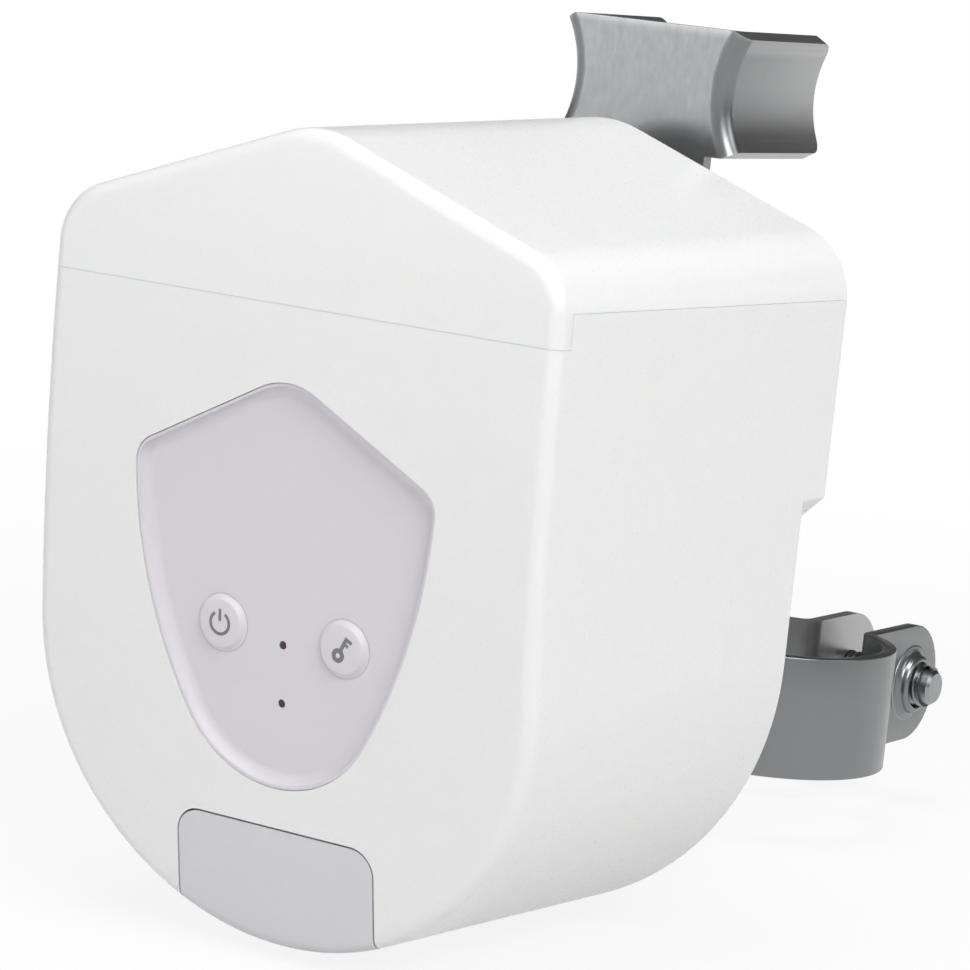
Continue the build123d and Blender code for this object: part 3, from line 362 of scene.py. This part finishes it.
def thicken_towards_face(shape, amount):
    """Give a flat sheet on the front a thin body behind it."""
    bmesh.ops.remove_doubles(shape, verts=shape.verts[:], dist=MERGE_NEAR)
    made = bmesh.ops.extrude_face_region(shape, geom=shape.faces[:])
    moved = [item for item in made["geom"] if isinstance(item, bmesh.types.BMVert)]
    bmesh.ops.translate(shape, vec=(0, amount, 0), verts=moved)


def turned(shape, profile, centre, axis, steps):
    """Spin a closed profile of points around an axis into a solid."""
    verts = [shape.verts.new(point) for point in profile]
    edges = [shape.edges.new((verts[i], verts[(i + 1) % len(verts)])) for i in range(len(verts))]
    bmesh.ops.spin(shape, geom=verts + edges, cent=centre, axis=axis, angle=2 * pi, steps=steps,
                   use_merge=True)
    bmesh.ops.remove_doubles(shape, verts=shape.verts[:], dist=MERGE_NEAR)


def turned_on_screw(shape, profile, steps):
    """Spin a closed profile of places along the clamp screw and radii around it."""
    points = [(place, SCREW_DEPTH, radius) for place, radius in profile]
    turned(shape, points, SCREW_CENTRE, (1, 0, 0), steps)


class DRIVE_OT_stage(Operator):
    """Camera, floor, backdrop and soft studio lights"""

    bl_idname = "drive.stage"
    bl_label = "Stage"

    def execute(self, context):
        scene = context.scene
        self.set_camera(scene)
        self.set_floor()
        self.set_sky(scene)
        for name, azimuth, elevation, distance, size, power in LIGHTS:
            self.light(name, azimuth, elevation, distance, size, power)
        scene.view_settings.view_transform = "Standard"
        return {"FINISHED"}

    @staticmethod
    def set_camera(scene):
        """Stand the camera where the photograph was taken from."""
        turn, rise, roll = (radians(angle) for angle in CAMERA_ANGLES)
        back = Vector((sin(turn) * cos(rise), -cos(turn) * cos(rise), sin(rise)))
        right = Vector((cos(turn), sin(turn), 0))
        up = back.cross(right)
        across = right * cos(roll) + up * sin(roll)
        above = up * cos(roll) - right * sin(roll)
        place = CAMERA_AIM + back * CAMERA_AWAY + right * CAMERA_SHIFT[0] + up * CAMERA_SHIFT[1]
        lens = bpy.data.cameras.new("camera")
        lens.sensor_width = CAMERA_SENSOR
        lens.lens = CAMERA_LENS
        lens.clip_start = 0.01
        camera = bpy.data.objects.new("camera", lens)
        scene.collection.objects.link(camera)
        camera.matrix_world = Matrix((
            (across.x, above.x, back.x, place.x),
            (across.y, above.y, back.y, place.y),
            (across.z, above.z, back.z, place.z),
            (0, 0, 0, 1)))
        scene.camera = camera

    @staticmethod
    def set_floor():
        """Lay a floor that looks white, also in reflections, and holds the drive's shadow."""
        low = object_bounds()[0]
        white = bpy.data.materials.new("backdrop_white")
        white.use_nodes = True
        tree, shader, links = nodes_of(white)
        shader.inputs["Base Color"].default_value = (0.72, 0.72, 0.72, 1)
        shader.inputs["Roughness"].default_value = 0.9
        shader.inputs["Specular IOR Level"].default_value = 0.1
        bright = add_node(tree, "ShaderNodeEmission", {"Color": (1, 1, 1, 1), "Strength": 1.0})
        path = add_node(tree, "ShaderNodeLightPath")
        seen = add_node(tree, "ShaderNodeMath", operation="MAXIMUM")
        links.new(path.outputs["Is Camera Ray"], seen.inputs[0])
        links.new(path.outputs["Is Glossy Ray"], seen.inputs[1])
        open_way = add_node(tree, "ShaderNodeMath", operation="MAXIMUM")
        links.new(seen.outputs["Value"], open_way.inputs[0])
        links.new(path.outputs["Is Transmission Ray"], open_way.inputs[1])
        way = add_node(tree, "ShaderNodeTexCoord")
        far = add_node(tree, "ShaderNodeVectorMath", operation="LENGTH")
        links.new(way.outputs["Object"], far.inputs[0])
        fade = add_node(tree, "ShaderNodeMapRange",
                        {"From Min": 0.15, "From Max": 0.45, "To Min": 0.88, "To Max": 1.0})
        links.new(far.outputs["Value"], fade.inputs["Value"])
        share = add_node(tree, "ShaderNodeMath", operation="MULTIPLY")
        links.new(open_way.outputs["Value"], share.inputs[0])
        links.new(fade.outputs["Result"], share.inputs[1])
        mix = add_node(tree, "ShaderNodeMixShader")
        links.new(share.outputs["Value"], mix.inputs["Fac"])
        links.new(shader.outputs["BSDF"], mix.inputs[1])
        links.new(bright.outputs["Emission"], mix.inputs[2])
        links.new(mix.outputs["Shader"], tree.nodes["Material Output"].inputs["Surface"])

        ground = bmesh.new()
        bmesh.ops.create_grid(ground, x_segments=1, y_segments=1, size=FLOOR_HALF_WIDTH,
                              matrix=Matrix.Translation((0, 0, low[2] - FLOOR_GAP)))
        mesh = bpy.data.meshes.new("stage_floor")
        ground.to_mesh(mesh)
        ground.free()
        mesh.materials.append(white)
        sheet = bpy.data.objects.new("stage_floor", mesh)
        bpy.context.scene.collection.objects.link(sheet)
        sheet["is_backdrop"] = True

    @staticmethod
    def set_sky(scene):
        """A world that is bright at the horizon and dim above it, less so in front of the drive."""
        world = bpy.data.worlds.new("studio")
        scene.world = world
        world.use_nodes = True
        tree = world.node_tree
        links = tree.links
        sky = tree.nodes["Background"]
        sky.inputs["Color"].default_value = (1, 1, 1, 1)
        way = add_node(tree, "ShaderNodeTexCoord")
        split = add_node(tree, "ShaderNodeSeparateXYZ")
        links.new(way.outputs["Generated"], split.inputs["Vector"])
        lean = add_node(tree, "ShaderNodeVectorMath", {1: (-0.342, -0.940, 0.0)}, "DOT_PRODUCT")
        links.new(way.outputs["Generated"], lean.inputs[0])
        upper = add_node(tree, "ShaderNodeMapRange",
                         {"From Min": 0.35, "From Max": 0.85, "To Min": 0.05, "To Max": 0.6})
        links.new(lean.outputs["Value"], upper.inputs["Value"])
        band = add_node(tree, "ShaderNodeMapRange",
                        {"From Min": 0.02, "From Max": 0.11, "To Min": 1.0})
        links.new(upper.outputs["Result"], band.inputs["To Max"])
        links.new(split.outputs["Z"], band.inputs["Value"])
        links.new(band.outputs["Result"], sky.inputs["Strength"])

    @staticmethod
    def light(name, azimuth, elevation, distance, size, power):
        """Round soft light that aims at the drive."""
        lamp = bpy.data.lights.new(name, "AREA")
        lamp.shape = "DISK"
        lamp.size = size
        lamp.energy = power
        holder = bpy.data.objects.new(name, lamp)
        bpy.context.scene.collection.objects.link(holder)
        turn, rise = radians(azimuth), radians(elevation)
        away = Vector((sin(turn) * cos(rise), -cos(turn) * cos(rise), sin(rise))) * distance
        stand = Matrix.Translation(LIGHT_AIM + away)
        holder.matrix_world = stand @ (-away).to_track_quat("-Z", "Y").to_matrix().to_4x4()


class DRIVE_OT_finishes(Operator):
    """Materials of every CAD piece"""

    bl_idname = "drive.finishes"
    bl_label = "Finishes"

    def execute(self, context):
        colours = context.scene.drive_finish
        shell = finish("moulded_white", colours.shell, 0.29, bump=0.10, grain=2600.0, mottle=0.015,
                       spread=0.05)
        shell_inputs = nodes_of(shell)[1].inputs
        shell_inputs["Subsurface Weight"].default_value = 0.06
        shell_inputs["Subsurface Scale"].default_value = 0.002
        shell_inputs["Specular IOR Level"].default_value = 0.42
        panel = finish("panel_satin", colours.panel, 0.45, bump=0.22, grain=3200.0, mottle=0.02)
        tab = finish("tab_satin", colours.tab, 0.42, bump=0.22, grain=3000.0, mottle=0.03)
        black = finish("black_moulding", (0.012, 0.012, 0.013), 0.4, bump=0.2, grain=2500.0)
        natural = finish("natural_moulding", (0.66, 0.63, 0.55), 0.42, bump=0.15, grain=2200.0,
                         mottle=0.05)
        board = finish("board_lacquer", (0.012, 0.11, 0.035), 0.38, bump=0.15, grain=1600.0,
                       mottle=0.2)
        zinc = finish("zinc_plated", colours.zinc, 0.3, metallic=1.0, bump=0.18, grain=1500.0,
                      mottle=0.12, wear=0.3)
        steel = finish("sheet_steel", colours.steel, 0.31, metallic=0.9, bump=0.16, grain=1300.0,
                       mottle=0.10, stretch=(1.0, 1.0, 0.35), wear=0.35)
        brass = finish("turned_brass", (0.62, 0.42, 0.15), 0.28, metallic=1.0, bump=0.12,
                       grain=1500.0, mottle=0.1)
        lamp = finish("lamp_yellow", (0.85, 0.74, 0.30), 0.3, grain=1200.0)
        clear = finish("light_pipe", (0.045, 0.012, 0.012), 0.3, grain=1500.0)
        groups = (
            (shell, ("front_housing", "top_cap", "rear_cover")),
            (panel, ("front_panel", "control_button", "reset_button")),
            (tab, ("push_tab",)),
            (black, ("tact_switches", "buzzer", "power_inlet", "power_capacitors", "shaft_seal")),
            (natural, ("release_bar", "latch", "second_gear", "first_gear", "motor_socket")),
            (board, ("circuit_board", "sensor_board")),
            (lamp, ("indicator_lamps",)),
            (clear, ("light_guides",)),
            (steel, ("fork", "fixed_jaw", "moving_jaw", "hinge_arm", "mount_plate")),
            (zinc, ("clamp_screw", "clamp_washer", "fork_bolt", "fork_washer", "hinge_pin",
                    "mount_rivets", "cover_screws", "board_screws", "motor_screws",
                    "gearbox_screws", "output_shaft", "motor_shaft", "gear_axles", "gear_key",
                    "shaft_clip", "latch_spring", "output_gear", "gearbox_front_plate",
                    "gearbox_rear_plate", "gearbox_pillars", "motor_case", "radio_module",
                    "control_switch_plunger", "reset_switch_plunger", "position_magnet")),
            (brass, ("motor_pinion", "front_bush", "rear_bush", "sensor_spacers")),
        )
        for material, names in groups:
            for name in names:
                dress(name, material)
        return {"FINISHED"}


class DRIVE_OT_sheet_metal(Operator):
    """Moving strap with the soft edges of stamped sheet, and the tapped burr on its ear"""

    bl_idname = "drive.sheet_metal"
    bl_label = "Sheet metal"

    def execute(self, context):
        detail = context.scene.drive_detail
        steel = bpy.data.materials["sheet_steel"]
        softened("moving_strap", "moving_jaw", detail.sheet_edge, detail.edge_segments, steel,
                 "outer_jaw", reshape=self.press_burr_flat)

        rise = detail.burr_height
        rim, shoulder, foot, bore = 0.00475, 0.0056, 0.0074, 0.0045
        shoulder_rise = 0.55
        buried = EAR_FACE - 0.0012
        steps = 8
        outline = [(buried, bore), (buried, foot), (EAR_FACE - 0.00005, foot)]
        for step in range(1, steps + 1):
            turn = pi / 2 * step / steps
            outline.append((EAR_FACE + rise * (1 - cos(turn)) * shoulder_rise,
                            foot - (foot - shoulder) * sin(turn)))
        for step in range(1, steps + 1):
            turn = pi / 2 * step / steps
            outline.append((EAR_FACE + rise * (shoulder_rise + (1 - shoulder_rise) * sin(turn)),
                            rim + (shoulder - rim) * cos(turn)))
        outline.append((EAR_FACE + rise - 0.0001, bore))
        burr = bmesh.new()
        turned_on_screw(burr, outline, 64)
        new_piece("tapped_burr", burr, steel, "outer_jaw")
        return {"FINISHED"}

    @staticmethod
    def press_burr_flat(shape):
        """Sink the plain burr of the solid into its ear, where the soft one stands."""
        for vert in shape.verts:
            away = max(abs(vert.co.y - SCREW_DEPTH), abs(vert.co.z))
            if vert.co.x > EAR_FACE + 0.00002 and away < EAR_HALF_WIDTH:
                vert.co.x = EAR_FACE - 0.0002


class DRIVE_OT_roof_seam(Operator):
    """Roof cap drawn down to a fine seam on the housing"""

    bl_idname = "drive.roof_seam"
    bl_label = "Roof seam"

    def execute(self, context):
        close = context.scene.drive_detail.seam_close
        shape = merged_copy("top_cap")
        for vert in shape.verts:
            if min(abs(vert.co.z - SEAM_FRONT), abs(vert.co.z - SEAM_SIDE)) < SEAM_NEAR:
                vert.co.z -= close
        white = bpy.data.materials["moulded_white"]
        piece = placed("roof_cap", shape, white, "drive_unit")
        piece.data.set_sharp_from_angle(angle=radians(34))
        even = piece.modifiers.new("Even", "WEIGHTED_NORMAL")
        even.keep_sharp = True
        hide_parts("top_cap")
        return {"FINISHED"}


class DRIVE_OT_clamp_screw(Operator):
    """Hexagon clamp screw with its thread, and the small steel pieces with soft edges"""

    bl_idname = "drive.clamp_screw"
    bl_label = "Clamp screw"

    def execute(self, context):
        detail = context.scene.drive_detail
        zinc = bpy.data.materials["zinc_plated"]
        low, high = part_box("clamp_screw")
        bolt = bmesh.new()
        corner = HEAD_HALF_WIDTH / cos(pi / 6)
        made = bmesh.ops.create_cone(bolt, cap_ends=True, segments=6, radius1=corner,
                                     radius2=corner, depth=HEAD_HEIGHT)
        middle = Matrix.Translation((low[0] + HEAD_HEIGHT / 2, SCREW_DEPTH, 0))
        lying = Matrix.Rotation(pi / 2, 4, "Y") @ Matrix.Rotation(pi / 6, 4, "Z")
        bmesh.ops.transform(bolt, matrix=middle @ lying, verts=made["verts"])
        bmesh.ops.bevel(bolt, geom=bolt.edges[:], offset=0.0005, offset_type="OFFSET", segments=3,
                        affect="EDGES", profile=0.5, material=-1, clamp_overlap=True)
        self.add_thread(bolt, low[0] + HEAD_HEIGHT, high[0], detail.thread_pitch,
                        detail.thread_depth)
        piece = new_piece("clamp_bolt", bolt, zinc, "screw")
        piece.data.set_sharp_from_angle(angle=radians(32))
        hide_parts("clamp_screw")
        for name, node, width, segments, body in (
                ("screw_washer", "clamp_washer", 0.00025, 2, "drive_unit"),
                ("knuckle_pin", "hinge_pin", 0.0003, 2, "drive_unit"),
                ("plate_rivets", "mount_rivets", 0.0005, 3, "drive_unit"),
                ("lever_bolt", "fork_bolt", 0.0004, 2, "fork_and_shaft"),
                ("lever_washer", "fork_washer", 0.0002, 2, "fork_and_shaft")):
            softened(name, node, width, segments, zinc, body)
        return {"FINISHED"}

    @staticmethod
    def add_thread(shape, start, end, pitch, depth):
        """Helical thread between two places on the screw's axis, around a chamfered core."""
        core = SCREW_RADIUS - depth
        first = start + 0.0006
        crest, fall, root = 0.14, 0.5, 0.64
        steps = 28
        count = int(((end - start - 0.0016) / pitch - 1.0) * steps)
        profile = [(first, SCREW_RADIUS), (first + pitch * crest, SCREW_RADIUS),
                   (first + pitch * fall, core), (first + pitch * root, core),
                   (first + pitch, SCREW_RADIUS)]
        verts = [shape.verts.new((place, SCREW_DEPTH, radius)) for place, radius in profile]
        edges = [shape.edges.new(pair) for pair in zip(verts, verts[1:])]
        bmesh.ops.spin(shape, geom=verts + edges, cent=SCREW_CENTRE, axis=(1, 0, 0),
                       dvec=(pitch / steps, 0, 0), angle=2 * pi * count / steps, steps=count,
                       use_merge=False)
        loose = [vert for vert in shape.verts if vert.is_boundary or vert.is_wire]
        bmesh.ops.remove_doubles(shape, verts=loose, dist=THREAD_NEAR)

        core_radius = core + 0.00002
        tip = end - 0.00002
        turned_on_screw(shape, [(start - 0.0002, 0.0), (start - 0.0002, core_radius),
                                (end - 0.0006, core_radius), (tip, core - 0.0005), (tip, 0.0)], 36)


class DRIVE_OT_signs(Operator):
    """Printed power sign and key sign, the lenses of the lights and the soft caps of the buttons"""

    bl_idname = "drive.signs"
    bl_label = "Signs"

    def execute(self, context):
        detail = context.scene.drive_detail
        ink = finish("sign_ink", context.scene.drive_finish.icon, 0.5, bump=0.1, grain=3000.0)
        self.print_power(ink, detail.icon_stroke, detail.icon_radius)
        self.print_key(ink, detail.icon_stroke)
        self.set_lenses(detail.lens_radius)
        self.soft_key("power_key", "control_button", "control_key", -BUTTON_ACROSS)
        self.soft_key("reset_key_cap", "reset_button", "reset_key", BUTTON_ACROSS)
        return {"FINISHED"}

    @staticmethod
    def print_power(ink, stroke, ring):
        """Open ring with a bar in its gap, on the control button."""
        gap = 64
        bar_foot, bar_top = 0.0003, ring + 0.0005
        sign = bmesh.new()
        flat_ring(sign, ring - stroke / 2, ring + stroke / 2, 90 + gap / 2, 360 - gap, steps=44)
        flat_bar(sign, (-stroke / 2, bar_foot), (stroke / 2, bar_top))
        DRIVE_OT_signs.print_sign("power_sign", sign, ink, "control_key", -BUTTON_ACROSS)

    @staticmethod
    def print_key(ink, stroke):
        """Key with a round grip and two teeth, on the reset button."""
        grip, tip = 0.00076, 0.00335
        band, half = stroke * 0.72, stroke * 0.62
        long_tooth, short_tooth = 0.00080, 0.00055
        lean, back = 62, 0.0011
        sign = bmesh.new()
        flat_ring(sign, grip - band, grip + band, steps=36)
        flat_bar(sign, (grip + stroke * 0.4, -half), (tip, half))
        flat_bar(sign, (tip - stroke * 1.1, -half - long_tooth), (tip, -half))
        flat_bar(sign, (tip - 2.6 * stroke, -half - short_tooth), (tip - 1.7 * stroke, -half))
        slant = Matrix.Rotation(radians(lean), 4, "Z") @ Matrix.Translation((-back, 0, 0))
        bmesh.ops.transform(sign, matrix=slant, verts=sign.verts[:])
        DRIVE_OT_signs.print_sign("key_sign", sign, ink, "reset_key", BUTTON_ACROSS)

    @staticmethod
    def print_sign(name, sign, ink, body, across):
        """Lay a flat sign on a button's face as a thin layer of ink."""
        onto_face(sign, across, BUTTON_HEIGHT, BUTTON_INSET, INK_LIFT)
        thicken_towards_face(sign, INK_DEPTH)
        new_piece(name, sign, ink, body, smooth=False)

    @staticmethod
    def set_lenses(radius):
        """Tapered lenses on the ends of the two light pipes."""
        low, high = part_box("light_guides")
        half = (high[0] - low[0]) / 2
        depth = 0.0006
        lenses = bmesh.new()
        for height in (high[2] - half, low[2] + half):
            lens = bmesh.new()
            made = bmesh.ops.create_cone(lens, cap_ends=True, segments=28, radius1=radius,
                                         radius2=radius * 0.86, depth=depth)
            bmesh.ops.translate(lens, vec=(0, 0, -depth / 2), verts=made["verts"])
            onto_face(lens, (low[0] + high[0]) / 2, height, PANEL_INSET)
            add_shape(lenses, lens)
        glass = bpy.data.materials["light_pipe"]
        piece = new_piece("light_lenses", lenses, glass, "drive_unit")
        piece.data.set_sharp_from_angle(angle=radians(40))

    @staticmethod
    def soft_key(name, node, body, across):
        """A button with a wide soft round, so that only a hairline shows around it."""
        rim, flat, proud, skirt, sunk = 0.00457, 0.0036, 0.0009, 0.0017, 0.0014
        steps = 12
        outline = [(0.0, 0.0), (flat * 0.5, 0.0), (flat, 0.0)]
        for step in range(1, steps + 1):
            turn = step / steps
            outline.append((flat + (rim - flat) * turn, -proud * (1 - cos(pi * turn)) / 2))
        outline += [(rim, -skirt), (0.0, -skirt)]
        cap = bmesh.new()
        turned(cap, [(radius, 0, height) for radius, height in outline], (0, 0, 0), (0, 0, 1), 72)
        bmesh.ops.recalc_face_normals(cap, faces=cap.faces[:])
        onto_face(cap, across, BUTTON_HEIGHT, BUTTON_INSET)

        shape = merged_copy(node)
        for vert in shape.verts:
            face = face_y(vert.co.z, BUTTON_INSET)
            if vert.co.y < face + sunk - 0.0001:
                vert.co.y = face + sunk
        add_shape(shape, cap)
        piece = placed(name, shape, bpy.data.materials["panel_satin"], body)
        piece.data.set_sharp_from_angle(angle=radians(48))
        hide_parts(node)


class DRIVE_PT_looks(Panel):
    """Lists the steps that dress the drive"""

    bl_idname = "DRIVE_PT_looks"
    bl_label = "Valve Drive"
    bl_space_type = "VIEW_3D"
    bl_region_type = "UI"
    bl_category = "Drive"

    def draw(self, context):
        layout = self.layout
        for operator in STEPS:
            layout.operator(operator.bl_idname)
        for group in (context.scene.drive_finish, context.scene.drive_detail):
            box = layout.box()
            for name in group.bl_rna.properties.keys():
                if name not in ("rna_type", "name"):
                    box.prop(group, name)


STEPS = (DRIVE_OT_stage, DRIVE_OT_finishes, DRIVE_OT_roof_seam, DRIVE_OT_sheet_metal,
         DRIVE_OT_clamp_screw, DRIVE_OT_signs)
CLASSES = (FinishSettings, DetailSettings) + STEPS + (DRIVE_PT_looks,)


def register():
    """Add the settings, the steps and the panel to Blender."""
    for cls in CLASSES:
        bpy.utils.register_class(cls)
    bpy.types.Scene.drive_finish = PointerProperty(type=FinishSettings)
    bpy.types.Scene.drive_detail = PointerProperty(type=DetailSettings)


def unregister():
    """Take the settings, the steps and the panel out of Blender."""
    del bpy.types.Scene.drive_detail
    del bpy.types.Scene.drive_finish
    for cls in reversed(CLASSES):
        bpy.utils.unregister_class(cls)


def main():
    """Dress the drive."""
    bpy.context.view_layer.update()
    register()
    bpy.ops.drive.stage()
    bpy.ops.drive.finishes()
    bpy.ops.drive.roof_seam()
    bpy.ops.drive.sheet_metal()
    bpy.ops.drive.clamp_screw()
    bpy.ops.drive.signs()


if __name__ == "__main__":
    main()
